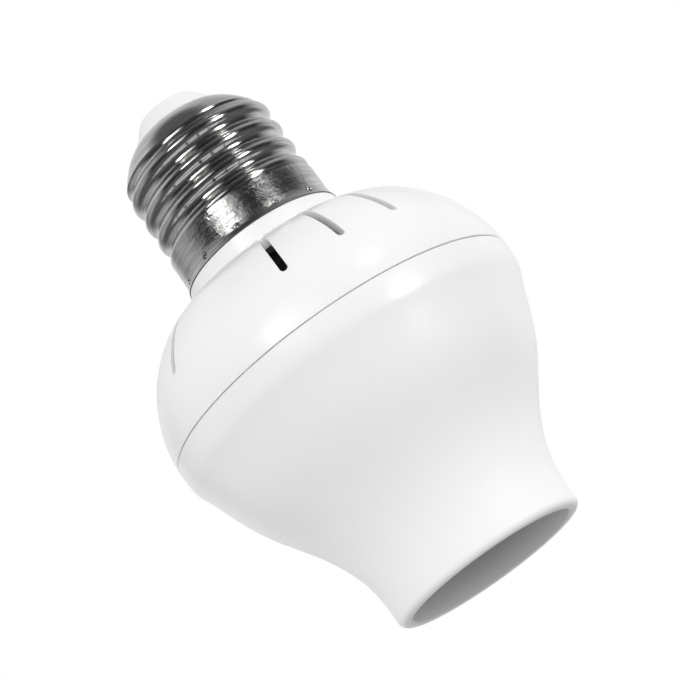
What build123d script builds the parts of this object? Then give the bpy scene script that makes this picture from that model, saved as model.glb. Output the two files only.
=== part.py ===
from build123d import *
import math
import os

# A motion sensor lamp holder that screws into a ceiling socket and takes a lamp in its own.
# Origin at the middle of the mouth plane, +Z up towards the screw cap, millimetres.

# Housing
body_r = 30.0
mouth_r = 16.0
mouth_bore_r = 14.0
mouth_straight = 3.0
lip_round = 1.0
mouth_flare = 0.15
entry_depth = 8.0
seam_z = 38.25
dome_h = 19.15
collar_inside_flare = 0.1
collar_top_gap = 0.15
collar_h = 2.95
wall = 1.8
seam_chamfer = 0.1
seam_groove_h = 0.15
seam_groove_deep = 0.6
spigot_h = 1.9
spigot_wall = 1.2
fit_gap = 0.1
beyond = 1.0

# Vent slots in the dome
vent_groups = 4
vents_per_group = 3
vent_step = 20.0
vent_group_azimuth = 21.5
vent_w = 1.25
vent_over_seam = 8.45
vent_outside_collar = 1.1

# Lamp tube and its socket
tube_bore_r = 14.35
tube_wall = 1.45
tube_top = 26.0
rib_w = 1.2
rib_count = 4
rib_azimuth = 45.0
rib_low_z = 13.0
rib_below_top = 2.0

# Edison thread, 27 mm size: the male cap and the female shell share the pitch
thread_pitch = 3.629
cap_crest_r = 13.1
cap_crest_above = 7.35
thread_depth = 0.95
socket_minor_r = 12.4
socket_major_r = 13.45
sheet = 0.3
root_dip = 0.012
plain_over_crest = 0.06
taper_shift = 0.42
thread_run_in = 0.2
socket_low_z = 8.4
socket_lead_in = 1.4
socket_plain_top = 2.3
socket_floor_hole_r = 5.5

# Screw cap
cap_skirt_h = 5.9
cap_flare = 0.5
cap_flare_h = 2.0
crown_steps = [(-0.05, 18.2), (1.35, 20.5), (3.1, 22.5), (5.1, 23.9)]
punch_count = 12
punch_azimuth = -6.1
punch_r = 0.6
punch_depth = 0.45
punch_h = 1.05
neck_wall = 1.65
neck_h = 4.45
wire_notch_low = 1.6

# Insulator and centre contact of the cap
insulator_face_r = 5.0
insulator_edge = 0.2
insulator_h = 3.5
insulator_skirt_h = 4.6
insulator_core_r = 7.4
insulator_web = 1.5
insulator_seat_from = 0.3
cap_rivet_below_crown = 3.0
cap_rivet_r = 1.15
cap_rivet_head_r = 3.0
cap_rivet_head_h = 0.4

# Socket base
base_t = 3.5
base_step_h = 1.1
base_step_gap = 0.15
ear_r = 3.0
ear_place_r = 18.2
guide_boss_r = 2.9
guide_boss_h = 1.6
spring_pocket_r = 3.75
spring_pocket_h = 2.3
shell_rivet_place_r = 9.5
shell_rivet_r = 1.2
shell_rivet_head_r = 2.2
shell_rivet_head_h = 0.45
shell_rivet_round = 0.36

# Sprung centre contact
contact_head_r = 3.4
contact_head_h = 1.2
contact_head_round = 0.84
contact_head_below_base = 2.5
contact_stem_r = 1.5
contact_stem_end = 0.6
stem_gap = 0.1
clip_t = 0.4
clip_r = 2.6
clip_groove = 0.4
clip_mouth_share = 0.8
spring_wire_r = 0.22
spring_mean_r = 2.55
spring_turns = 3.0
terminal_t = 0.3
terminal_w = 2.4
terminal_hole_gap = 0.4

# Main board
board_r = 23.5
board_t = 1.6
board_below_seam = 3.25
board_boss_r = 2.6
board_screw_place_r = 20.5
board_screws = 3
screw_r = 1.0
screw_clear_r = 1.3
screw_head_r = 2.2
screw_head_h = 1.5
screw_head_round = 0.6
screw_slot_w = 0.5
screw_slot_deep = 0.6
screw_tip_r = 0.2
screw_bite = 6.0
leg_r = 0.3
leg_hole_r = 0.5
leg_below = 1.2
leg_into_case = 0.5

# Snap hooks between the two covers
hook_count = 4
hook_r = 24.4
hook_t = 1.2
hook_w = 5.0
hook_below_seam = 6.85
hook_barb = 0.7
hook_barb_h = 1.9
hook_barb_edge = 0.3
catch_extra_w = 1.0
catch_h = 3.0
catch_slope_w = 1.2
catch_slope_h = 1.4

# Leads
lead_r = 0.65
wire_r = 0.3

# Electronics: sizes, places on the board and the spacing of the legs
relay_size = (18.4, 10.2, 12.5)
relay_spot = (-8.0, 8.0)
relay_legs = (15.2, 7.6)
relay_round = 0.5
film_size = (18.0, 6.0, 11.0)
film_spot = (2.0, -15.5)
film_legs = 15.0
film_round = 0.7
bulk_size = (5.0, 12.0)
bulk_spot = (14.5, 9.0)
bulk_legs = 5.0
output_size = (3.15, 9.0)
output_spot = (5.0, 17.0)
output_legs = 2.5
can_round = 0.4
can_groove_z = 1.6
can_groove_outside = 0.15
can_groove_r = 0.5
can_vent_share = 1.2
can_vent_w = 0.25
can_vent_deep = 0.2
rectifier_size = (8.3, 6.4, 3.2)
rectifier_spot = (-15.0, -7.0)
rectifier_legs = (5.08, 7.6)
rectifier_round = 0.3
rectifier_notch_r = 0.8
rectifier_notch_deep = 0.4
shoulder_w = 1.0
shoulder_in = 0.38
shoulder_z = 1.2
shoulder_t = 0.3
varistor_size = (4.5, 3.6)
varistor_spot = (15.5, -8.0)
varistor_legs = 5.0
varistor_lift = 0.3
varistor_round = 1.44
varistor_leg_in = 1.8
fuse_size = (1.6, 8.6)
fuse_spot = (13.0, -3.6)
fuse_legs = 11.4
fuse_lift = 0.2
fuse_round = 0.5
fuse_bend_r = 0.9
choke_size = (3.5, 8.0)
choke_spot = (-3.0, -7.0)
choke_legs = 5.0
choke_flange = 1.4
choke_waist = 0.7
winding_below_flange = 0.1
chip_size = (5.0, 4.0, 1.5)
chip_spot = (5.2, -7.2)
chip_lift = 0.15
chip_edge = 0.2
chip_pins = 4
chip_pitch = 1.27
chip_pin_w = 0.4
chip_pin_t = 0.2
chip_pin_h = 0.8
chip_foot = (0.8, 0.6)
chip_riser = (0.25, 0.3)
chip_bar = (0.6, 0.1)
radar_size = (13.0, 14.0, 1.0)
radar_spot = (5.1, 5.5)
radar_lift = 2.5
radar_patch = (0.3, 9.1, 5.6)
radar_patch_z = 7.0
radar_chip = (1.1, 1.4, 2.8)
radar_chip_z = 3.4
sensor_size = (2.5, 2.0)
sensor_spot = (-20.6, 0.5)
sensor_lift = 9.4
sensor_round = 0.4
sensor_leg_in = 1.0
pin_pitch = 2.54
pin_w = 0.5
strip_w = 1.0
pin_above_strip = 2.5
tab_above = 0.8
neutral_foot = 5.2
live_pad = (0.9, -0.6)
neutral_pad = (-8.0, -0.4)
lead_above_board = 0.3
lead_strip = 0.5

# Places that follow from the sizes above
tube_r = tube_bore_r + tube_wall
cap_root_r = cap_crest_r - thread_depth
cap_flare_r = cap_crest_r + cap_flare
flare_out = cap_flare - plain_over_crest
flare_bend_r = (cap_flare_h ** 2 + flare_out ** 2) / (2 * flare_out)
collar_r = cap_flare_r - collar_inside_flare
collar_z = seam_z + dome_h
cap_z = collar_z + collar_h
cap_crest_z = cap_z + cap_crest_above
thread_low = cap_z + cap_skirt_h
crown_points = [(cap_crest_r - step, cap_z + up) for step, up in crown_steps]
crown_r, crown_z = crown_points[-1]
vent_low_z = seam_z + vent_over_seam
vent_inner_r = collar_r + vent_outside_collar
hook_low_z = seam_z - hook_below_seam
base_z = tube_top
base_top = base_z + base_t
base_low = base_z - base_step_h
guide_top = base_top + guide_boss_h
contact_head_low_z = base_low - contact_head_below_base
board_z = seam_z - board_below_seam
board_top = board_z + board_t
leg_low_z = board_z - leg_below
neutral_tab_x = shell_rivet_place_r + neutral_foot / 2 + terminal_t / 2
neck_r = cap_crest_r - sheet - fit_gap / 2
neck_bore_r = neck_r - neck_wall
neck_top = cap_z + neck_h
wire_notch_w = 3 * wire_r
insulator_top = crown_z + insulator_h
rivet_low_z = crown_z - cap_rivet_below_crown
BASE = (Align.CENTER, Align.CENTER, Align.MIN)


# Simple forms shared by the pieces

def disc(radius, low, high, x=0.0, y=0.0):
    return Pos(x, y, low) * Cylinder(radius, high - low, align=BASE)


def ring(inner, outer, low, high, x=0.0, y=0.0):
    return disc(outer, low, high, x, y) - disc(inner, low, high, x, y)


def block(length, width, low, high, x=0.0, y=0.0):
    return Pos(x, y, low) * Box(length, width, high - low, align=BASE)


def around(count, start=0.0):
    return [start + 360.0 * n / count for n in range(count)]


def polar(radius, azimuth):
    turn = math.radians(azimuth)
    return radius * math.cos(turn), radius * math.sin(turn)


def lathe(edges):
    return revolve(Plane.XZ * make_face(edges), Axis.Z)


def rib_plate(outline, width, azimuth):
    face = Plane.XZ * make_face(Polyline(*outline, close=True))
    plate = extrude(face, width / 2, both=True)
    return Rot(0, 0, azimuth) * plate


# Housing outlines, as radius and height

def bell_curve():
    rise = body_r - mouth_r
    shares = [(0.235, 0.057), (0.444, 0.332), (0.654, 0.696), (0.863, 0.936)]
    points = [(mouth_r, mouth_straight)]
    points += [(mouth_r + rise * out, seam_z * up) for up, out in shares]
    points += [(body_r, seam_z)]
    return Spline(*points, tangents=[(0, 1), (0, 1)])


def dome_curve():
    step_in = body_r - collar_r
    shares = [(0.311, 0.942), (0.525, 0.833), (0.681, 0.703), (0.838, 0.509), (0.943, 0.258)]
    points = [(body_r, seam_z)]
    points += [(collar_r + step_in * out, seam_z + dome_h * up) for up, out in shares]
    points += [(collar_r, collar_z)]
    return Spline(*points, tangents=[(0, 1), (-1, 0.22)])


def inset(curve, distance, samples=9):
    points = []
    for n in range(samples):
        share = n / (samples - 1)
        here, along = curve @ share, curve % share
        points.append((here.X - along.Y * distance, here.Y + along.X * distance))
    return Spline(*points)


def skin(curve):
    inner = inset(curve, wall)
    return lathe([curve, Line(curve @ 1, inner @ 1), inner, Line(inner @ 0, curve @ 0)])


def filled(curve, distance):
    inner = inset(curve, distance)
    top, low = inner @ 1, inner @ 0
    return lathe([inner, Line(top, (0, top.Y)), Line((0, top.Y), (0, low.Y)), Line((0, low.Y), low)])


# Covers

def hook_outline():
    back, front = hook_r, hook_r + hook_t
    top = hook_low_z + hook_barb_h
    return [(back, hook_low_z), (front - hook_t / 2, hook_low_z),
            (front + hook_barb, top - hook_barb_edge), (front + hook_barb, top), (front, top),
            (front, collar_z), (back, collar_z)]


def catch_outline():
    tip = hook_r + hook_t + fit_gap
    low = hook_low_z + hook_barb_h + fit_gap
    top = low + catch_h
    return [(tip, low), (body_r, low), (body_r, top), (tip + catch_slope_w, top),
            (tip, top - catch_slope_h)]


def hook_azimuths():
    return around(hook_count, vent_group_azimuth - 90.0 + 180.0 / hook_count)


def boss_places():
    return [polar(board_screw_place_r, azimuth) for azimuth in around(board_screws)]


def ear_places():
    return [(0, ear_place_r), (0, -ear_place_r)]


def front_cover():
    curve = bell_curve()
    inner = Part()
    for x, y in boss_places():
        inner += disc(board_boss_r, rib_low_z, board_z, x, y)
    for x, y in ear_places():
        inner += disc(ear_r, rib_low_z, tube_top, x, y)
    rib_in, rib_top = tube_r - tube_wall / 2, tube_top - rib_below_top
    rib = [(rib_in, rib_low_z), (body_r, rib_low_z), (body_r, rib_top), (rib_in, rib_top)]
    for azimuth in around(rib_count, rib_azimuth):
        inner += rib_plate(rib, rib_w, azimuth)
    for azimuth in hook_azimuths():
        inner += rib_plate(catch_outline(), hook_w + catch_extra_w, azimuth)
    lip = disc(mouth_r, 0, mouth_straight)
    lip = fillet(lip.edges().group_by(Axis.Z)[0], lip_round)
    cover = skin(curve) + lip + disc(tube_r, lip_round, tube_top) + (inner & filled(curve, wall / 2))
    cover -= lamp_bore()
    cover -= disc(body_r - wall / 2, seam_z - spigot_h - fit_gap, seam_z)
    cover -= seam_bevel(-1)
    for x, y in boss_places():
        cover -= disc(screw_r + fit_gap / 2, board_z - screw_bite - beyond, board_z, x, y)
    for x, y in ear_places():
        cover -= disc(screw_r + fit_gap / 2, tube_top - screw_bite - beyond, tube_top, x, y)
    return cover


def lamp_bore():
    outline = [(0, 0), (mouth_bore_r + mouth_flare, 0), (mouth_bore_r, mouth_flare),
               (mouth_bore_r, entry_depth), (tube_bore_r, entry_depth), (tube_bore_r, tube_top),
               (0, tube_top)]
    return lathe(Polyline(*outline, close=True).edges())


def seam_bevel(side, start=seam_z):
    tip = start + side * seam_chamfer
    outline = [(body_r - seam_chamfer, start), (body_r + beyond, start), (body_r + beyond, tip),
               (body_r, tip)]
    return lathe(Polyline(*outline, close=True).edges())


def seam_groove():
    top = seam_z + seam_groove_h
    return ring(body_r - seam_groove_deep, body_r + beyond, seam_z, top) + seam_bevel(1, top)


def vent_cutter(azimuth):
    half = vent_w / 2
    round_z, top = vent_low_z + half, collar_z + beyond
    start, end = vent_inner_r + half, body_r + beyond
    slot = block(end - start, vent_w, round_z, top, (end + start) / 2)
    slot += disc(half, round_z, top, start)
    slot += Pos(start, 0, round_z) * Rot(0, 90, 0) * Cylinder(half, end - start, align=BASE)
    return Rot(0, 0, azimuth) * slot


def vent_azimuths():
    middle = (vents_per_group - 1) / 2
    groups = around(vent_groups, vent_group_azimuth - 90.0)
    return [group + vent_step * (n - middle) for group in groups for n in range(vents_per_group)]


def flare_at(height):
    up = cap_flare_h - height
    return cap_crest_r + plain_over_crest + flare_bend_r - math.sqrt(flare_bend_r ** 2 - up ** 2)


def punches(inset_by):
    place = flare_at(punch_h) - inset_by + punch_r - punch_depth
    marks = Part()
    for azimuth in around(punch_count, punch_azimuth - 90.0):
        marks += Rot(0, 0, azimuth) * Pos(place, 0, cap_z + punch_h) * Rot(0, 90, 0) * Sphere(punch_r)
    return marks


def rear_cover():
    curve = dome_curve()
    arms = Part()
    for azimuth in hook_azimuths():
        arms += rib_plate(hook_outline(), hook_w, azimuth)
    outside = filled(curve, wall / 2) + disc(body_r - wall / 2, hook_low_z - beyond, seam_z)
    spigot_r = body_r - wall / 2 - fit_gap
    cover = skin(curve) + (arms & outside)
    cover += ring(spigot_r - spigot_wall, spigot_r, seam_z - spigot_h, seam_z + spigot_h)
    cover += disc(collar_r, collar_z - wall, cap_z - collar_top_gap)
    cover += disc(neck_r, collar_z - wall, neck_top)
    cover -= disc(neck_bore_r, collar_z - 2 * wall, neck_top)
    cover -= seam_groove()
    for azimuth in vent_azimuths():
        cover -= vent_cutter(azimuth)
    cover -= punches(sheet + fit_gap)
    cover -= neutral_notch()
    return cover


def neutral_notch():
    deep, end = neck_r - wire_notch_w, neck_r + beyond
    return block(end - deep, wire_notch_w, cap_z + wire_notch_low, neck_top, -(end + deep) / 2)


# Threaded shells

def knuckle_ridge(root, crest, turns):
    low = root - root_dip
    rise = crest - low
    arc_r = ((thread_pitch / 2) ** 2 + rise ** 2) / (4 * rise)
    middle = (low + crest) / 2

    def hollow(turn, side):
        return low + arc_r * (1 - math.cos(turn)), side * (thread_pitch / 2 - arc_r * math.sin(turn))

    start = math.acos(1 - root_dip / 2 / arc_r)
    full = math.asin(thread_pitch / 4 / arc_r)
    edges = [ThreePointArc((middle, -thread_pitch / 4), (crest, 0), (middle, thread_pitch / 4))]
    for side in (1, -1):
        foot = hollow(start, side)
        edges += [ThreePointArc((middle, side * thread_pitch / 4), hollow((full + start) / 2, side), foot),
                  Line(foot, (root - sheet, foot[1]))]
    edges += [Line((root - sheet, hollow(start, 1)[1]), (root - sheet, hollow(start, -1)[1]))]
    section = Plane.XZ * make_face(edges)
    return sweep(section, path=Helix(thread_pitch, turns * thread_pitch, middle), is_frenet=True)


def threaded_rod(root, crest, low, high, crest_z):
    start = crest_z - math.ceil((crest_z - low) / thread_pitch + 0.5) * thread_pitch
    turns = math.ceil((high - start) / thread_pitch + 0.5)
    ridge = Pos(0, 0, start) * knuckle_ridge(root, crest, turns)
    rod = disc(root, start - thread_pitch, start + (turns + 1) * thread_pitch) + ridge
    return rod & disc(crest + beyond, low, high)


def crown_curve(inset_by=0.0):
    curve = Spline(*crown_points)
    return curve if inset_by == 0 else inset(curve, inset_by, 5)


def crown_room(inset_by):
    curve = crown_curve(inset_by)
    low, top = curve @ 0, curve @ 1
    return lathe([curve, Line(top, (0, top.Y)), Line((0, top.Y), (0, cap_z)),
                  Line((0, cap_z), (low.X, cap_z)), Line((low.X, cap_z), low)])


def cap_body(inset_by):
    crest, root = cap_crest_r - inset_by, cap_root_r - inset_by
    plain = crest + plain_over_crest
    shift = taper_shift * inset_by
    rod = threaded_rod(root, crest, thread_low - beyond, insulator_top, cap_crest_z) & crown_room(inset_by)
    flare_low, flare_top = (cap_flare_r - inset_by, cap_z), (plain, cap_z + cap_flare_h)
    flare_middle = (flare_at(cap_flare_h / 2) - inset_by, cap_z + cap_flare_h / 2)
    outline = [flare_top, (plain, thread_low - shift), (root, thread_low + plain - root - shift),
               (0, thread_low + plain - root - shift), (0, cap_z), flare_low]
    flare = ThreePointArc(flare_low, flare_middle, flare_top)
    return rod + lathe(Polyline(*outline).edges() + [flare])


def cap_shell():
    shell = cap_body(0) - cap_body(sheet)
    shell -= disc(crown_r, crown_z - 2 * beyond, insulator_top)
    bumps = punches(sheet) & disc(cap_crest_r, cap_z, thread_low)
    return shell + bumps - punches(0)


def socket_core(grow):
    root, crest = socket_minor_r + grow, socket_major_r + grow
    plain = crest + plain_over_crest
    slope = plain - root
    shift = (1 + taper_shift) * grow
    low = socket_low_z + socket_lead_in + shift
    high = base_low - socket_plain_top - shift
    top = base_low - sheet + grow
    rod = threaded_rod(root, crest, low - thread_run_in, high + thread_run_in, low)
    entry = [(0, socket_low_z), (plain, socket_low_z), (plain, low), (root, low + slope), (0, low + slope)]
    end = [(0, top), (plain, top), (plain, high), (root, high - slope), (0, high - slope)]
    core = rod + lathe(Polyline(*entry, close=True).edges())
    return core + lathe(Polyline(*end, close=True).edges())


def socket_shell():
    shell = socket_core(sheet) - socket_core(0)
    shell -= disc(socket_floor_hole_r, base_low - 2 * sheet, base_low)
    for side in (1, -1):
        x = side * shell_rivet_place_r
        shell -= disc(shell_rivet_r + fit_gap / 2, base_low - 2 * sheet, base_low, x)
    return shell


# Cap insulator and its contact

def cap_insulator():
    seat = crown_curve(sheet + fit_gap)
    neck = crown_r - fit_gap
    skirt_z = crown_z - insulator_skirt_h
    step = (1 - insulator_seat_from) / 5
    samples = [seat @ (insulator_seat_from + step * n) for n in range(6)]
    outline = Spline(*[(point.X, point.Y) for point in samples])
    rim = (insulator_face_r + insulator_edge, insulator_top - insulator_edge)
    low, top = outline @ 0, outline @ 1
    edges = [outline, Line(top, (neck, top.Y)), Line((neck, top.Y), (neck, crown_z)),
             Line((neck, crown_z), rim), Line(rim, (insulator_face_r, insulator_top)),
             Line((insulator_face_r, insulator_top), (0, insulator_top)),
             Line((0, insulator_top), (0, skirt_z)), Line((0, skirt_z), (low.X, skirt_z)),
             Line((low.X, skirt_z), low)]
    plug = lathe(edges)
    plug -= disc(insulator_core_r, skirt_z, crown_z - insulator_web)
    return plug - disc(cap_rivet_r + fit_gap / 2, skirt_z, insulator_top)


def cap_contact():
    head_top = insulator_top + cap_rivet_head_h
    dome_r = (cap_rivet_head_r ** 2 + cap_rivet_head_h ** 2) / (2 * cap_rivet_head_h)
    head = Pos(0, 0, head_top - dome_r) * Sphere(dome_r) & disc(cap_rivet_head_r, insulator_top, head_top)
    rivet = head + disc(cap_rivet_r, rivet_low_z, insulator_top)
    return rivet - disc(wire_r + fit_gap / 2, rivet_low_z, insulator_top)


# Lamp socket

def socket_base():
    base = disc(tube_r, base_z, base_top) + disc(tube_bore_r - base_step_gap, base_low, base_z)
    base += disc(guide_boss_r, base_top, guide_top)
    for x, y in ear_places():
        base += disc(ear_r, base_z, base_top, x, y)
        base += block(2 * ear_r, ear_place_r, base_z, base_top, x, y / 2)
        base -= disc(screw_clear_r, base_z, base_top, x, y)
    base -= disc(contact_stem_r + stem_gap, base_low, guide_top)
    base -= disc(spring_pocket_r, base_low, base_low + spring_pocket_h)
    base -= live_strip(fit_gap)
    for side in (1, -1):
        base -= disc(shell_rivet_r + fit_gap / 2, base_low, base_top, side * shell_rivet_place_r)
    return base


def live_strip(grow=0.0):
    low = base_low + spring_pocket_h - terminal_t - grow
    top = board_top + tab_above + grow
    x = -(spring_pocket_r - terminal_t / 2 - fit_gap)
    return block(terminal_t + 2 * grow, terminal_w + 2 * grow, low, top, x)


def live_terminal():
    roof = base_low + spring_pocket_h
    inner, outer = contact_stem_r + terminal_hole_gap, spring_pocket_r - fit_gap
    return ring(inner, outer, roof - terminal_t, roof) + live_strip()


def neutral_terminal():
    foot = block(neutral_foot, neutral_foot, base_top, base_top + terminal_t, shell_rivet_place_r)
    foot -= disc(shell_rivet_r + fit_gap / 2, base_top, base_top + terminal_t, shell_rivet_place_r)
    return foot + block(terminal_t, terminal_w, base_top, board_top + tab_above, neutral_tab_x)


def shell_rivets():
    rivets = []
    for side in (1, -1):
        x = side * shell_rivet_place_r
        seat = base_top + (terminal_t if side > 0 else 0)
        rivet = disc(shell_rivet_r, base_low - sheet, seat, x)
        rivet += rivet_head(x, base_low - sheet, -1) + rivet_head(x, seat, 1)
        rivets.append(rivet)
    return Compound(children=rivets)


def rivet_head(x, seat, way):
    body = disc(shell_rivet_head_r, 0, shell_rivet_head_h)
    body = fillet(body.edges().group_by(Axis.Z)[-1], shell_rivet_round)
    turn = Rot(180, 0, 0) if way < 0 else Rot(0, 0, 0)
    return Pos(x, 0, seat) * turn * body


def contact_plunger():
    low = contact_head_low_z
    head_top = low + contact_head_h
    stem_top = guide_top + clip_t + contact_stem_end
    head = disc(contact_head_r, low, head_top)
    head = fillet(head.edges().group_by(Axis.Z)[0], contact_head_round)
    stem = disc(contact_stem_r, head_top, stem_top)
    groove = ring(contact_stem_r - clip_groove, contact_stem_r + beyond, guide_top, guide_top + clip_t)
    return head + stem - groove


def plunger_clip():
    bore_r, top = contact_stem_r - clip_groove, guide_top + clip_t
    reach, width = clip_r + beyond, 2 * clip_mouth_share * bore_r
    mouth = block(reach, width, guide_top, top, reach / 2)
    return ring(bore_r, clip_r, guide_top, top) - mouth


def contact_spring():
    low = contact_head_low_z + contact_head_h + spring_wire_r + fit_gap / 2
    high = base_low + spring_pocket_h - terminal_t - spring_wire_r - fit_gap / 2
    path = Pos(0, 0, low) * Helix((high - low) / spring_turns, high - low, spring_mean_r)
    return wire(path, spring_wire_r)


def wire(path, radius):
    start = Plane(origin=path @ 0, z_dir=path % 0)
    return sweep(start * Circle(radius), path=path, is_frenet=True)


# Screws

def screw(x, y, seat, washer=0.0):
    head = disc(screw_head_r, 0, screw_head_h)
    head = fillet(head.edges().group_by(Axis.Z)[-1], screw_head_round)
    slot_floor = screw_head_h - screw_slot_deep
    head -= block(2 * screw_head_r, screw_slot_w, slot_floor, screw_head_h)
    head -= block(screw_slot_w, 2 * screw_head_r, slot_floor, screw_head_h)
    tip = Pos(0, 0, -washer - screw_bite) * Cone(screw_tip_r, screw_r, screw_r, align=BASE)
    shank = disc(screw_r, screw_r - washer - screw_bite, 0)
    return Pos(x, y, seat) * (head + shank + tip)


def base_screws():
    return Compound(children=[screw(x, y, base_top, base_t) for x, y in ear_places()])


def board_screws_group():
    return Compound(children=[screw(x, y, board_top, board_t) for x, y in boss_places()])


# Electronics on the main board

def pair_x(spot, span):
    return [(spot[0] - span / 2, spot[1]), (spot[0] + span / 2, spot[1])]


def pair_y(spot, span):
    return [(spot[0], spot[1] - span / 2), (spot[0], spot[1] + span / 2)]


def corners(spot, length, width):
    return [(spot[0] + sx * length / 2, spot[1] + sy * width / 2) for sx in (-1, 1) for sy in (-1, 1)]


leg_places = {
    "relay": corners(relay_spot, *relay_legs),
    "film_capacitor": pair_x(film_spot, film_legs),
    "bulk_capacitor": pair_x(bulk_spot, bulk_legs),
    "output_capacitor": pair_x(output_spot, output_legs),
    "bridge_rectifier": corners(rectifier_spot, *rectifier_legs),
    "varistor": pair_x(varistor_spot, varistor_legs),
    "fuse_resistor": pair_x(fuse_spot, fuse_legs),
    "choke": pair_y(choke_spot, choke_legs),
    "radar_header": [(radar_spot[0], radar_spot[1] + n * pin_pitch) for n in (-1, 0, 1)],
    "light_sensor": pair_y((sensor_spot[0] + sensor_leg_in, sensor_spot[1]), pin_pitch),
    "cap_live_lead": [live_pad],
    "cap_neutral_lead": [neutral_pad],
}


def legs(name, top=board_top + leg_into_case):
    group = Part()
    for x, y in leg_places[name]:
        group += disc(leg_r, leg_low_z, top, x, y)
    return group


def main_board():
    board = disc(board_r, board_z, board_top)
    for x, y in boss_places():
        board -= disc(screw_clear_r, board_z, board_top, x, y)
    for places in leg_places.values():
        for x, y in places:
            board -= disc(leg_hole_r, board_z, board_top, x, y)
    board -= live_strip(fit_gap)
    length, width = terminal_t + 2 * fit_gap, terminal_w + 2 * fit_gap
    return board - block(length, width, board_z, board_top, neutral_tab_x)


def cased(size, spot, soften):
    length, width, height = size
    body = block(length, width, board_top, board_top + height, *spot)
    rims = body.edges().group_by(Axis.Z)[-1] + body.edges().filter_by(Axis.Z)
    return fillet(rims, soften)


def relay():
    return cased(relay_size, relay_spot, relay_round) + legs("relay")


def film_capacitor():
    return cased(film_size, film_spot, film_round) + legs("film_capacitor")


def can(name, size, spot):
    radius, height = size
    top = board_top + height
    body = disc(radius, board_top, top, *spot)
    body = fillet(body.edges().group_by(Axis.Z)[-1], can_round)
    groove = Torus(radius + can_groove_outside, can_groove_r)
    body -= Pos(spot[0], spot[1], board_top + can_groove_z) * groove
    vent = radius * can_vent_share
    body -= block(vent, can_vent_w, top - can_vent_deep, top, *spot)
    body -= block(can_vent_w, vent, top - can_vent_deep, top, *spot)
    return body + legs(name)


def bulk_capacitor():
    return can("bulk_capacitor", bulk_size, bulk_spot)


def output_capacitor():
    return can("output_capacitor", output_size, output_spot)


def bridge_rectifier():
    body = cased(rectifier_size, rectifier_spot, rectifier_round)
    notch_x, top = rectifier_spot[0] - rectifier_size[0] / 2, board_top + rectifier_size[2]
    body -= disc(rectifier_notch_r, top - rectifier_notch_deep, top, notch_x, rectifier_spot[1])
    low, high = board_top + shoulder_z, board_top + shoulder_z + shoulder_t
    for x, y in leg_places["bridge_rectifier"]:
        towards = math.copysign(shoulder_in, rectifier_spot[1] - y)
        body += block(shoulder_w, shoulder_w, low, high, x, y + towards)
        body += disc(leg_r, leg_low_z, high, x, y)
    return body


def varistor():
    radius, thick = varistor_size
    centre_z = board_top + radius + varistor_lift
    body = Pos(*varistor_spot, centre_z) * Rot(90, 0, 0) * Cylinder(radius, thick)
    body = fillet(body.edges(), varistor_round)
    return body + legs("varistor", centre_z - radius + varistor_leg_in)


def fuse_resistor():
    radius, length = fuse_size
    y, axis_z = fuse_spot[1], board_top + radius + fuse_lift
    body = Pos(*fuse_spot, axis_z) * Rot(0, 90, 0) * Cylinder(radius, length)
    body = fillet(body.edges(), fuse_round)
    (low_x, _), (high_x, _) = leg_places["fuse_resistor"]
    corner_points = [(low_x, y, leg_low_z), (low_x, y, axis_z), (high_x, y, axis_z), (high_x, y, leg_low_z)]
    return body + wire(FilletPolyline(*corner_points, radius=fuse_bend_r), leg_r)


def choke_window(inner, outer, clear):
    low, high = board_top + choke_flange + clear, board_top + choke_size[1] - choke_flange - clear
    return ring(inner, outer, low, high, *choke_spot)


def choke():
    radius, height = choke_size
    core = disc(radius, board_top, board_top + height, *choke_spot)
    return core - choke_window(radius - choke_waist, radius + beyond, 0) + legs("choke")


def choke_winding():
    radius = choke_size[0]
    return choke_window(radius - choke_waist, radius - winding_below_flange, fit_gap)


def control_chip():
    length, width, height = chip_size
    x, y = chip_spot
    body = block(length, width, board_top + chip_lift, board_top + height, x, y)
    body = chamfer(body.edges().group_by(Axis.Z)[-1], chip_edge)
    knee = board_top + chip_pin_h
    stages = [(chip_foot, board_top, board_top + chip_pin_t), (chip_riser, board_top, knee),
              (chip_bar, knee - chip_pin_t, knee)]
    for n in range(chip_pins):
        pin_x = x + (n - (chip_pins - 1) / 2) * chip_pitch
        for side in (1, -1):
            for (reach, out), low, high in stages:
                body += block(chip_pin_w, reach, low, high, pin_x, y + side * (width / 2 + out))
    return body


def on_radar_face(size, above):
    depth, width, height = size
    low = board_top + radar_lift + above
    face_x = radar_spot[0] + 1.5 * radar_size[2]
    return block(depth, width, low, low + height, face_x + depth / 2, radar_spot[1])


def radar_board():
    length, height, thick = radar_size
    low = board_top + radar_lift
    board = block(thick, length, low, low + height, radar_spot[0] + thick, radar_spot[1])
    return board + on_radar_face(radar_patch, radar_patch_z) + on_radar_face(radar_chip, radar_chip_z)


def radar_header():
    strip_top = board_top + radar_lift
    header = block(strip_w, 3 * pin_pitch, board_top, strip_top, *radar_spot)
    for x, y in leg_places["radar_header"]:
        header += block(pin_w, pin_w, leg_low_z, strip_top + pin_above_strip, x, y)
    return header


def light_sensor():
    radius, thick = sensor_size
    centre_z = board_top + sensor_lift
    body = Pos(*sensor_spot, centre_z) * Rot(0, 90, 0) * Cylinder(radius, thick)
    body = fillet(body.edges().sort_by(Axis.X)[0], sensor_round)
    return body + legs("light_sensor", centre_z)


# Leads, each a straight route with tangent arcs at its turns

def smooth_route(points):
    points = [Vector(*point) for point in points]
    radii = []
    for before, here, after in zip(points, points[1:], points[2:]):
        run_in, run_out = here - before, after - here
        half_turn = math.radians(run_in.get_angle(run_out)) / 2
        radii.append(0.45 * min(run_in.length, run_out.length) / math.tan(half_turn))
    return FilletPolyline(*points, radius=radii)


def tube(path, radius):
    return sweep(Plane(origin=path @ 0, z_dir=path % 0) * Circle(radius), path=path)


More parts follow.
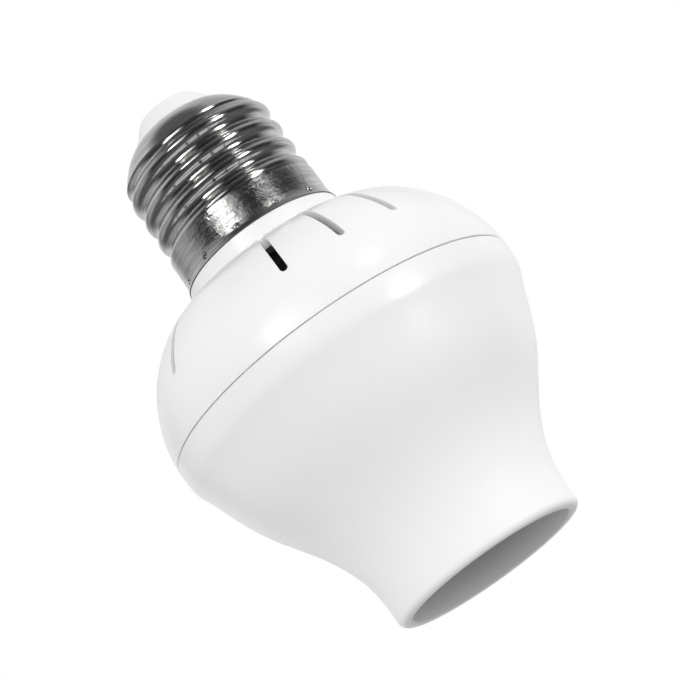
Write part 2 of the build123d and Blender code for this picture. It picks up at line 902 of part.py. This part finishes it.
def cap_live_lead():
    x, y = live_pad
    low, high = board_top + lead_above_board, rivet_low_z - lead_above_board
    route = [(x, y, low), (x, y, low + 8), (x + 2.4, y + 1.5, low + 20), (x + 1.8, y + 2.6, high - 16),
             (0, 0, high - 5), (0, 0, high)]
    lead = tube(smooth_route(route), lead_r)
    lead += disc(wire_r, leg_low_z, low + lead_strip, x, y)
    return lead + disc(wire_r, high - lead_strip, insulator_top - 2 * lead_strip)


def cap_neutral_lead():
    x, y = neutral_pad
    low, rim = board_top + lead_above_board, neck_top + wire_r + fit_gap
    inside, notch = -(neck_bore_r - lead_r - fit_gap), -(neck_r - wire_r)
    route = [(x, y, low), (x, y, low + 7), (inside, 0, low + 17), (inside, 0, rim - 2.0)]
    turns = [(inside, 0, rim - 2.5), (inside, 0, rim), (notch, 0, rim), (notch, 0, cap_z + 2.0)]
    bare = FilletPolyline(*turns, radius=2 * wire_r)
    end = disc(wire_r, leg_low_z, low + lead_strip, x, y)
    return tube(smooth_route(route), lead_r) + tube(bare, wire_r) + end


parts = {
    "front_cover": front_cover,
    "rear_cover": rear_cover,
    "cap_shell": cap_shell,
    "cap_insulator": cap_insulator,
    "cap_contact": cap_contact,
    "socket_shell": socket_shell,
    "socket_base": socket_base,
    "shell_rivets": shell_rivets,
    "live_terminal": live_terminal,
    "neutral_terminal": neutral_terminal,
    "contact_plunger": contact_plunger,
    "plunger_clip": plunger_clip,
    "contact_spring": contact_spring,
    "base_screws": base_screws,
    "main_board": main_board,
    "board_screws": board_screws_group,
    "relay": relay,
    "film_capacitor": film_capacitor,
    "bulk_capacitor": bulk_capacitor,
    "output_capacitor": output_capacitor,
    "bridge_rectifier": bridge_rectifier,
    "varistor": varistor,
    "fuse_resistor": fuse_resistor,
    "choke": choke,
    "choke_winding": choke_winding,
    "control_chip": control_chip,
    "radar_board": radar_board,
    "radar_header": radar_header,
    "light_sensor": light_sensor,
    "cap_live_lead": cap_live_lead,
    "cap_neutral_lead": cap_neutral_lead,
}

os.makedirs("parts", exist_ok=True)
for name, make in parts.items():
    export_step(make(), f"parts/{name}.step")
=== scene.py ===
import math

import bpy
from mathutils import Matrix, Vector

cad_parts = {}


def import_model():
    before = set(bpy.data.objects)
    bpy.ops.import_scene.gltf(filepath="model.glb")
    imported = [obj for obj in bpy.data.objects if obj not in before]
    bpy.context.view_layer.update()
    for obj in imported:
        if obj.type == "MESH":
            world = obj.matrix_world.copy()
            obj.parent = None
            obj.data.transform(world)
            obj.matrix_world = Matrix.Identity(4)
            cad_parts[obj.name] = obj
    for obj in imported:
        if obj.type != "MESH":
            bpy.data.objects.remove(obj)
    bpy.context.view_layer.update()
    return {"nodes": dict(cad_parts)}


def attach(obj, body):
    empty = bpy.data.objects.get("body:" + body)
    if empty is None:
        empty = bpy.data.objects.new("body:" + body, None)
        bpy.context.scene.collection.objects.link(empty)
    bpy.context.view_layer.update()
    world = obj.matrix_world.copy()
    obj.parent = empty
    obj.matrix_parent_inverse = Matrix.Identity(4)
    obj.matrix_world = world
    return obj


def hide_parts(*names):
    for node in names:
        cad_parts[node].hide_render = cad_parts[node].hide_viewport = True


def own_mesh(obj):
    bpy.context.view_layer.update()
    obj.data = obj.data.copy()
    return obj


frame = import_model()
nodes = frame["nodes"]
scene = bpy.context.scene

# Camera: a long lens that looks up at the holder from just below, rolled to lay it on the diagonal
LENS = 128.05
SENSOR_WIDTH = 36.0
CLIP_START, CLIP_END = 0.01, 20.0
CAMERA_PLACE = Vector((0.00126, -0.3530, -0.0548))
CAMERA_RISE = math.radians(15.256)
CAMERA_ROLL = math.radians(35.61)

# Floor: paint that catches a shadow. Its share of plain white grows between two distances, from 0.30 to 1.
FLOOR_Z = -0.30
FLOOR_SIZE = 2.4
FLOOR_PALE = 0.92
FLOOR_ROUGHNESS = 0.9
FLOOR_FADE = (0.25, 1.05, 0.30, 1.0)

# Softboxes that only gloss sees. Each has an azimuth and elevation in degrees, a width and height, the size of
# its hot middle as shares of these, and the radiance of the middle and of the rest. Both fade with the
# distance from the box's centre, over these shares of their own radius.
LAMP_TARGET = Vector((0, 0, 0.045))
SOFTBOX_DISTANCE = 0.9
SOFTBOXES = [("left_lamp", -22.5, 26.0, 0.19, 0.19, (1.0, 1.0), 9.0, 0.0),
             ("left_box", -12.0, 24.0, 0.62, 0.70, (0.5, 0.5), 0.5, 1.2),
             ("right_lamp", 52.5, -6.5, 0.24, 0.52, (1.0, 1.0), 9.0, 0.0),
             ("right_card", 50.0, 33.0, 0.17, 0.11, (1.0, 1.0), 8.0, 0.0),
             ("right_box", 50.0, -4.0, 0.62, 1.10, (0.5, 0.5), 0.2, 0.4)]
MIDDLE_FADE = (0.7, 1.15)
REST_FADE = (0.35, 1.0)

# A wide key lamp that only matt surfaces see: azimuth, elevation, distance, size and power
SOFT_KEY = (22.0, 10.0, 1.5, 0.9, 0.9)

# The world's light on matt surfaces. Heights are the upward part of a ray's direction, from -1 to 1.
# The light above is full at its own azimuth and falls to a share opposite; so does the low band of light.
LIGHT_BELOW, LIGHT_ABOVE = 0.535, 1.17
HORIZON = (-0.1, 0.1)
LIGHT_ABOVE_MIDDLE = 60.0
LIGHT_ABOVE_OPPOSITE = 0.50
BAND_BRIGHT = 1.95
BAND_RISE, BAND_FALL = (-0.20, -0.13), (0.06, 0.16)
BAND_MIDDLE = 15.0
BAND_OPPOSITE = 0.75

# What gloss sees of the studio: azimuth in degrees, 0 on the camera's side and + to its right, and brightness.
# The camera's side is a dark room, and behind the holder is a pale backdrop with a darker gap at its left.
STUDIO_WALLS = [(-180, 0.85), (-150, 0.80), (-132, 0.30), (-112, 0.52), (-84, 0.55), (-62, 0.04),
                (0, 0.03), (60, 0.03), (98, 0.06), (116, 0.55), (132, 0.90), (180, 0.85)]
STUDIO_CEILING = [(-180, 0.75), (-110, 0.80), (-70, 0.55), (-25, 0.08),
                  (20, 0.06), (60, 0.25), (110, 0.50), (180, 0.75)]
FLOOR_IN_GLOSS, FLOOR_TO_WALLS = 0.15, (-0.50, -0.10)
CEILING_FROM = (0.35, 0.60)
ZENITH, ZENITH_FROM = 0.14, (0.86, 0.97)

# Noise patterns: scale, detail, roughness, and the stretch along each axis
SHELL_MOTTLE, SHELL_SHEEN, SHELL_WAVES = (45, 4), (220, 3), (90, 2)
PLASTIC_MOTTLE, PLASTIC_SHEEN, PLASTIC_WAVES = (60, 4), (220, 3), (90, 2)
METAL_MOTTLE, METAL_SHEEN, METAL_WAVES = (400, 4, 0.6), (900, 3, 0.6), (300, 2)
PLATE_LINES = (150, 4, 0.65, (1, 1, 14))
PLATE_SHEEN = (260, 4, 0.6, (1, 1, 5))
PLATE_CRINKLE = (900, 5, 0.7)
TINT_STOPS = (0.3, 0.7)

# Housing: the gloss comes in between two heights, and the inside of the lamp tube gets painted shade, darker
# up to its top
SHELL_COLOR = (0.84, 0.84, 0.84)
SHELL_DARKEST = 0.012
SHELL_GLOSS, SHELL_SATIN, SATIN_SPREAD = 0.2, 0.5, 0.03
SHELL_SPECULAR = 0.2
SHELL_SCATTER, SCATTER_DEPTH = 0.1, 0.0015
GLOSS_FROM = (0.012, 0.026)
TUBE_EDGE, TUBE_TOP, TUBE_PAINTED_SHADE = (0.01415, 0.0146), (0.030, 0.034), 0.76

# Nickel plate: the crinkle lies between the skirt's two edges, and the lines show less below the lower one
NICKEL_COLOR = (0.64, 0.63, 0.62)
NICKEL_DARKEST = 0.62
NICKEL_ROUGHNESS, NICKEL_SPREAD = 0.09, (0.6, 1.5)
SKIRT_LOW = (0.0604, 0.0616)
SKIRT_HIGH = (0.0655, 0.0668)
LINE_RELIEF = 0.4
LINE_RELIEF_LOW = LINE_RELIEF * 0.3
PLATE_RELIEF = 0.00009

# Other finishes: how the colour and roughness spread, and the strength and height of the surface's waves
PLASTIC_IOR = 1.5
PLASTIC_DARKEST, PLASTIC_SPREAD = 0.01, (0.85, 1.15)
PLASTIC_RELIEF = (0.02, 0.0004)
METAL_DARKEST, METAL_SPREAD = 0.95, (0.7, 1.4)
METAL_RELIEF = (0.04, 0.0002)

# Colour and roughness of each finish, and the nodes that wear it
PLASTICS = {
    "insulator_white": ((0.82, 0.82, 0.81), 0.40, ["cap_insulator"]),
    "base_offwhite": ((0.72, 0.71, 0.67), 0.50, ["socket_base"]),
    "board_green": ((0.03, 0.14, 0.06), 0.40, ["main_board", "radar_board"]),
    "black_plastic": ((0.02, 0.02, 0.022), 0.45,
                      ["relay", "bridge_rectifier", "control_chip", "radar_header"]),
    "black_sleeve": ((0.015, 0.015, 0.02), 0.30, ["bulk_capacitor", "output_capacitor"]),
    "film_case": ((0.40, 0.25, 0.04), 0.35, ["film_capacitor"]),
    "blue_coat": ((0.02, 0.07, 0.24), 0.30, ["varistor"]),
    "resistor_coat": ((0.12, 0.20, 0.23), 0.50, ["fuse_resistor"]),
    "ferrite": ((0.03, 0.03, 0.032), 0.60, ["choke"]),
    "sensor_ceramic": ((0.45, 0.18, 0.07), 0.40, ["light_sensor"]),
    "red_wire": ((0.40, 0.02, 0.015), 0.35, ["cap_live_lead"]),
    "black_wire": ((0.018, 0.018, 0.02), 0.35, ["cap_neutral_lead"]),
}
METALS = {
    "brass": ((0.72, 0.55, 0.27), 0.25,
              ["cap_contact", "shell_rivets", "live_terminal", "neutral_terminal", "contact_plunger"]),
    "steel": ((0.56, 0.56, 0.58), 0.30,
              ["plunger_clip", "contact_spring", "base_screws", "board_screws"]),
    "copper": ((0.62, 0.30, 0.14), 0.35, ["choke_winding"]),
}


def camera():
    forward = Vector((0, math.cos(CAMERA_RISE), math.sin(CAMERA_RISE)))
    level = Vector((1, 0, 0))
    upright = level.cross(forward)
    right = level * math.cos(CAMERA_ROLL) - upright * math.sin(CAMERA_ROLL)
    top = level * math.sin(CAMERA_ROLL) + upright * math.cos(CAMERA_ROLL)
    data = bpy.data.cameras.new("camera")
    data.lens = LENS
    data.sensor_width = SENSOR_WIDTH
    data.clip_start, data.clip_end = CLIP_START, CLIP_END
    eye = bpy.data.objects.new("camera", data)
    scene.collection.objects.link(eye)
    turn = Matrix((right, top, -forward)).transposed().to_4x4()
    eye.matrix_world = Matrix.Translation(CAMERA_PLACE) @ turn
    scene.camera = eye


def direction(azimuth, elevation):
    a, e = math.radians(azimuth), math.radians(elevation)
    return Vector((math.sin(a) * math.cos(e), -math.cos(a) * math.cos(e), math.sin(e)))


def link(tree, source, target):
    tree.links.new(source, target)


def maths(tree, operation, *values):
    node = tree.nodes.new("ShaderNodeMath")
    node.operation = operation
    for socket, value in zip(node.inputs, values):
        if isinstance(value, (int, float)):
            socket.default_value = value
        else:
            link(tree, value, socket)
    return node.outputs[0]


def between(tree, value, low, high, to_low=0.0, to_high=1.0, smooth=False):
    node = tree.nodes.new("ShaderNodeMapRange")
    node.interpolation_type = "SMOOTHSTEP" if smooth else "LINEAR"
    for name, number in (("From Min", low), ("From Max", high), ("To Min", to_low), ("To Max", to_high)):
        node.inputs[name].default_value = number
    link(tree, value, node.inputs["Value"])
    return node.outputs[0]


def blend_numbers(tree, factor, first, second):
    mix = tree.nodes.new("ShaderNodeMix")
    link(tree, factor, mix.inputs["Factor"])
    for name, value in (("A", first), ("B", second)):
        if isinstance(value, float):
            mix.inputs[name].default_value = value
        else:
            link(tree, value, mix.inputs[name])
    return mix.outputs["Result"]


def mix_shaders(tree, factor, first, second):
    mix = tree.nodes.new("ShaderNodeMixShader")
    for source, socket in zip((factor, first, second), mix.inputs):
        link(tree, source, socket)
    return mix.outputs[0]


def axes_of(tree, vector):
    parts = tree.nodes.new("ShaderNodeSeparateXYZ")
    link(tree, vector, parts.inputs[0])
    return parts.outputs


def coordinates(tree, kind):
    return tree.nodes.new("ShaderNodeTexCoord").outputs[kind]


def lamp(name, azimuth, elevation, distance, size, power):
    data = bpy.data.lights.new(name, "AREA")
    data.shape = "ELLIPSE"
    data.size, data.size_y = size
    data.energy = power
    light = bpy.data.objects.new(name, data)
    scene.collection.objects.link(light)
    light.location = LAMP_TARGET + direction(azimuth, elevation) * distance
    light.rotation_mode = "QUATERNION"
    light.rotation_quaternion = (LAMP_TARGET - light.location).to_track_quat("-Z", "Y")
    light.visible_camera = False
    return light


def softbox(name, azimuth, elevation, width, height, middle, hot, dim):
    """An elliptical lamp with a hot middle and a dimmer rest, each with a soft edge."""
    # a power of pi times the area is a radiance of 1, which the nodes then multiply
    area = math.pi * width * height / 4
    light = lamp(name, azimuth, elevation, SOFTBOX_DISTANCE, (width, height), math.pi * area)
    light.visible_diffuse = False
    light.data.use_nodes = True
    tree = light.data.node_tree
    axes = axes_of(tree, tree.nodes.new("ShaderNodeNewGeometry").outputs["Parametric"])
    across, upwards = (maths(tree, "MULTIPLY", maths(tree, "SUBTRACT", axes[axis], 0.5), 2.0)
                       for axis in "XY")

    def radius(*shares):
        squares = [maths(tree, "POWER", maths(tree, "ABSOLUTE", maths(tree, "DIVIDE", way, share)), 2.0)
                   for way, share in zip((across, upwards), shares)]
        return maths(tree, "SQRT", maths(tree, "ADD", *squares))

    core = between(tree, radius(*middle), *MIDDLE_FADE, hot, 0.0, smooth=True)
    rest = between(tree, radius(1.0, 1.0), *REST_FADE, dim, 0.0, smooth=True)
    link(tree, maths(tree, "ADD", core, rest), tree.nodes["Emission"].inputs["Strength"])


def towards(tree, axes, azimuth):
    """How nearly the ray points to an azimuth, from -1 to 1."""
    aim = direction(azimuth, 0)
    right = maths(tree, "MULTIPLY", axes["X"], aim.x)
    ahead = maths(tree, "MULTIPLY", axes["Y"], aim.y)
    return maths(tree, "ADD", right, ahead)


def soft_light(tree):
    """What matt surfaces see: a level below, a level above, and the low band."""
    axes = axes_of(tree, coordinates(tree, "Generated"))
    height = axes["Z"]
    rise = between(tree, height, *BAND_RISE, smooth=True)
    fall = between(tree, height, *BAND_FALL, 1.0, 0.0, smooth=True)
    front = between(tree, towards(tree, axes, BAND_MIDDLE), -1, 1, BAND_OPPOSITE, 1.0)
    band = maths(tree, "MULTIPLY", maths(tree, "MULTIPLY", rise, fall), front)
    above = between(tree, towards(tree, axes, LIGHT_ABOVE_MIDDLE), -1, 1,
                    LIGHT_ABOVE_OPPOSITE * LIGHT_ABOVE, LIGHT_ABOVE)
    plain = blend_numbers(tree, between(tree, height, *HORIZON, smooth=True), LIGHT_BELOW, above)
    return maths(tree, "ADD", plain, maths(tree, "MULTIPLY", band, BAND_BRIGHT))


def by_azimuth(tree, turn, stops):
    ramp = tree.nodes.new("ShaderNodeValToRGB")
    elements = ramp.color_ramp.elements
    while len(elements) < len(stops):
        elements.new(0.5)
    for element, (angle, grey) in zip(elements, stops):
        element.position = angle / 360 + 0.5
        element.color = (grey, grey, grey, 1)
    link(tree, turn, ramp.inputs["Fac"])
    return ramp.outputs["Color"]


def studio_brightness(tree):
    """What gloss sees: how bright the studio is in the ray's own direction."""
    axes = axes_of(tree, coordinates(tree, "Generated"))
    azimuth = maths(tree, "ARCTAN2", axes["X"], maths(tree, "MULTIPLY", axes["Y"], -1.0))
    turn = between(tree, azimuth, -math.pi, math.pi)
    seen = FLOOR_IN_GLOSS
    for start, higher in ((FLOOR_TO_WALLS, by_azimuth(tree, turn, STUDIO_WALLS)),
                          (CEILING_FROM, by_azimuth(tree, turn, STUDIO_CEILING)),
                          (ZENITH_FROM, ZENITH)):
        seen = blend_numbers(tree, between(tree, axes["Z"], *start, smooth=True), seen, higher)
    return seen


def background(tree, strength=None):
    node = tree.nodes.new("ShaderNodeBackground")
    node.inputs["Color"].default_value = (1, 1, 1, 1)
    if strength is not None:
        link(tree, strength, node.inputs["Strength"])
    return node.outputs[0]


def world():
    """Plain white for the camera and through glass, the studio for gloss, and soft light for the rest."""
    sky = bpy.data.worlds.new("studio")
    scene.world = sky
    sky.use_nodes = True
    tree = sky.node_tree
    tree.nodes.clear()
    path = tree.nodes.new("ShaderNodeLightPath")
    unseen = mix_shaders(tree, path.outputs["Is Glossy Ray"], background(tree, soft_light(tree)),
                         background(tree, studio_brightness(tree)))
    direct = maths(tree, "MAXIMUM", path.outputs["Is Camera Ray"], path.outputs["Is Transmission Ray"])
    out = tree.nodes.new("ShaderNodeOutputWorld")
    link(tree, mix_shaders(tree, direct, unseen, background(tree)), out.inputs["Surface"])


def material(name):
    new = bpy.data.materials.new(name)
    new.use_nodes = True
    tree = new.node_tree
    return new, tree, tree.nodes["Principled BSDF"]


def length(tree, vector):
    far = tree.nodes.new("ShaderNodeVectorMath")
    far.operation = "LENGTH"
    link(tree, vector, far.inputs[0])
    return far.outputs["Value"]


def floor():
    mesh = bpy.data.meshes.new("floor")
    half = FLOOR_SIZE / 2
    corners = [(x, y, FLOOR_Z) for x, y in ((-half, -half), (half, -half), (half, half), (-half, half))]
    mesh.from_pydata(corners, [], [(0, 1, 2, 3)])
    plane = bpy.data.objects.new("floor", mesh)
    scene.collection.objects.link(plane)
    paint, tree, shader = material("floor")
    shader.inputs["Base Color"].default_value = (FLOOR_PALE, FLOOR_PALE, FLOOR_PALE, 1)
    shader.inputs["Roughness"].default_value = FLOOR_ROUGHNESS
    glow = tree.nodes.new("ShaderNodeEmission")
    fade = between(tree, length(tree, coordinates(tree, "Object")), *FLOOR_FADE, smooth=True)
    surface = mix_shaders(tree, fade, shader.outputs[0], glow.outputs[0])
    # from below it is clear, so that views from there show the holder
    side = tree.nodes.new("ShaderNodeNewGeometry")
    clear = tree.nodes.new("ShaderNodeBsdfTransparent")
    surface = mix_shaders(tree, side.outputs["Backfacing"], surface, clear.outputs[0])
    link(tree, surface, tree.nodes["Material Output"].inputs["Surface"])
    mesh.materials.append(paint)
    # the world gives matt and glossy surfaces the floor's light, so the plane itself only catches the shadow
    plane.visible_diffuse = plane.visible_glossy = False
    plane.visible_shadow = plane.visible_transmission = False


def object_noise(tree, scale, detail, roughness=0.5, stretch=(1, 1, 1)):
    mapping = tree.nodes.new("ShaderNodeMapping")
    mapping.inputs["Scale"].default_value = stretch
    noise = tree.nodes.new("ShaderNodeTexNoise")
    noise.inputs["Scale"].default_value = scale
    noise.inputs["Detail"].default_value = detail
    noise.inputs["Roughness"].default_value = roughness
    link(tree, coordinates(tree, "Object"), mapping.inputs["Vector"])
    link(tree, mapping.outputs[0], noise.inputs["Vector"])
    return noise.outputs["Fac"]


def object_height(tree):
    return axes_of(tree, coordinates(tree, "Object"))["Z"]


def object_radius(tree):
    """The distance from the holder's axis."""
    flat = tree.nodes.new("ShaderNodeVectorMath")
    flat.operation = "MULTIPLY"
    flat.inputs[1].default_value = (1, 1, 0)
    link(tree, coordinates(tree, "Object"), flat.inputs[0])
    return length(tree, flat.outputs[0])


def tint(tree, value, dark, light):
    ramp = tree.nodes.new("ShaderNodeValToRGB")
    for element, position, color in zip(ramp.color_ramp.elements, TINT_STOPS, (dark, light)):
        element.color = (*color, 1)
        element.position = position
    link(tree, value, ramp.inputs["Fac"])
    return ramp.outputs["Color"]


def roughen(tree, shader, noise, low, high):
    link(tree, between(tree, object_noise(tree, *noise), 0.0, 1.0, low, high), shader.inputs["Roughness"])


def bump(tree, shader, height, strength, distance):
    node = tree.nodes.new("ShaderNodeBump")
    node.inputs["Strength"].default_value = strength
    node.inputs["Distance"].default_value = distance
    link(tree, height, node.inputs["Height"])
    link(tree, node.outputs[0], shader.inputs["Normal"])


def darken(tree, color, mask, share):
    mix = tree.nodes.new("ShaderNodeMix")
    mix.data_type = "RGBA"
    mix.blend_type = "MULTIPLY"
    inputs = {socket.identifier: socket for socket in mix.inputs}
    outputs = {socket.identifier: socket for socket in mix.outputs}
    link(tree, mask, inputs["Factor_Float"])
    link(tree, color, inputs["A_Color"])
    inputs["B_Color"].default_value = (share, share, share, 1)
    return outputs["Result_Color"]


def housing_plastic(name):
    """Satin moulded plastic under a gloss that fades out towards the mouth."""
    paint, tree, shader = material(name)
    dark = tuple(c - SHELL_DARKEST for c in SHELL_COLOR)
    # painted shade: the colour inside the lamp tube is multiplied darker up to the tube's top, standing in for
    # the shade in that recess
    tube_painted_shade = maths(tree, "MULTIPLY", between(tree, object_radius(tree), *TUBE_EDGE, 1.0, 0.0),
                    between(tree, object_height(tree), *TUBE_TOP, 1.0, 0.0))
    color = tint(tree, object_noise(tree, *SHELL_MOTTLE), dark, SHELL_COLOR)
    link(tree, darken(tree, color, tube_painted_shade, TUBE_PAINTED_SHADE), shader.inputs["Base Color"])
    roughen(tree, shader, SHELL_SHEEN, SHELL_SATIN - SATIN_SPREAD, SHELL_SATIN + SATIN_SPREAD)
    gloss = between(tree, object_height(tree), *GLOSS_FROM, smooth=True)
    link(tree, gloss, shader.inputs["Coat Weight"])
    shader.inputs["Coat Roughness"].default_value = SHELL_GLOSS
    shader.inputs["Specular IOR Level"].default_value = SHELL_SPECULAR
    shader.inputs["IOR"].default_value = PLASTIC_IOR
    shader.inputs["Subsurface Weight"].default_value = SHELL_SCATTER
    shader.inputs["Subsurface Radius"].default_value = (1, 1, 1)
    shader.inputs["Subsurface Scale"].default_value = SCATTER_DEPTH
    bump(tree, shader, object_noise(tree, *SHELL_WAVES), *PLASTIC_RELIEF)
    return paint


def nickel_plate(name):
    """Rolled sheet with fine lines round it, and a crinkle where the skirt was pressed on."""
    paint, tree, shader = material(name)
    shader.inputs["Metallic"].default_value = 1.0
    lines = object_noise(tree, *PLATE_LINES)
    dark = tuple(c * NICKEL_DARKEST for c in NICKEL_COLOR)
    link(tree, tint(tree, lines, dark, NICKEL_COLOR), shader.inputs["Base Color"])
    roughen(tree, shader, PLATE_SHEEN, *(NICKEL_ROUGHNESS * share for share in NICKEL_SPREAD))
    height = object_height(tree)
    rise = between(tree, height, *SKIRT_LOW, smooth=True)
    skirt = maths(tree, "MULTIPLY", rise, between(tree, height, *SKIRT_HIGH, 1.0, 0.0, smooth=True))
    crinkle = maths(tree, "MULTIPLY", object_noise(tree, *PLATE_CRINKLE), skirt)
    line_relief = between(tree, rise, 0.0, 1.0, LINE_RELIEF_LOW, LINE_RELIEF)
    relief = maths(tree, "ADD", maths(tree, "MULTIPLY", lines, line_relief), crinkle)
    bump(tree, shader, relief, 1.0, PLATE_RELIEF)
    return paint


def plastic(name, color, roughness):
    paint, tree, shader = material(name)
    dark = tuple(max(c - PLASTIC_DARKEST, 0) for c in color)
    tinted = tint(tree, object_noise(tree, *PLASTIC_MOTTLE), dark, color)
    link(tree, tinted, shader.inputs["Base Color"])
    roughen(tree, shader, PLASTIC_SHEEN, *(roughness * share for share in PLASTIC_SPREAD))
    shader.inputs["IOR"].default_value = PLASTIC_IOR
    bump(tree, shader, object_noise(tree, *PLASTIC_WAVES), *PLASTIC_RELIEF)
    return paint


def metal(name, color, roughness):
    paint, tree, shader = material(name)
    shader.inputs["Metallic"].default_value = 1.0
    dark = tuple(c * METAL_DARKEST for c in color)
    tinted = tint(tree, object_noise(tree, *METAL_MOTTLE), dark, color)
    link(tree, tinted, shader.inputs["Base Color"])
    roughen(tree, shader, METAL_SHEEN, *(roughness * share for share in METAL_SPREAD))
    bump(tree, shader, object_noise(tree, *METAL_WAVES), *METAL_RELIEF)
    return paint


def dress(paint, names):
    for name in names:
        mesh = nodes[name].data
        mesh.materials.clear()
        mesh.materials.append(paint)


camera()
world()
floor()
for box in SOFTBOXES:
    softbox(*box)
azimuth, elevation, distance, size, power = SOFT_KEY
lamp("soft_key", azimuth, elevation, distance, (size, size), power).visible_glossy = False

dress(housing_plastic("housing_white"), ["front_cover", "rear_cover"])
dress(nickel_plate("nickel"), ["cap_shell", "socket_shell"])
for make, finishes in ((plastic, PLASTICS), (metal, METALS)):
    for name, (color, roughness, names) in finishes.items():
        dress(make(name, color, roughness), names)

spring = bpy.data.objects.new("sprung_coil", nodes["contact_spring"].data.copy())
scene.collection.objects.link(spring)
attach(spring, "holder")
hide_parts("contact_spring")
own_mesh(spring)

scene.view_settings.view_transform = "Standard"
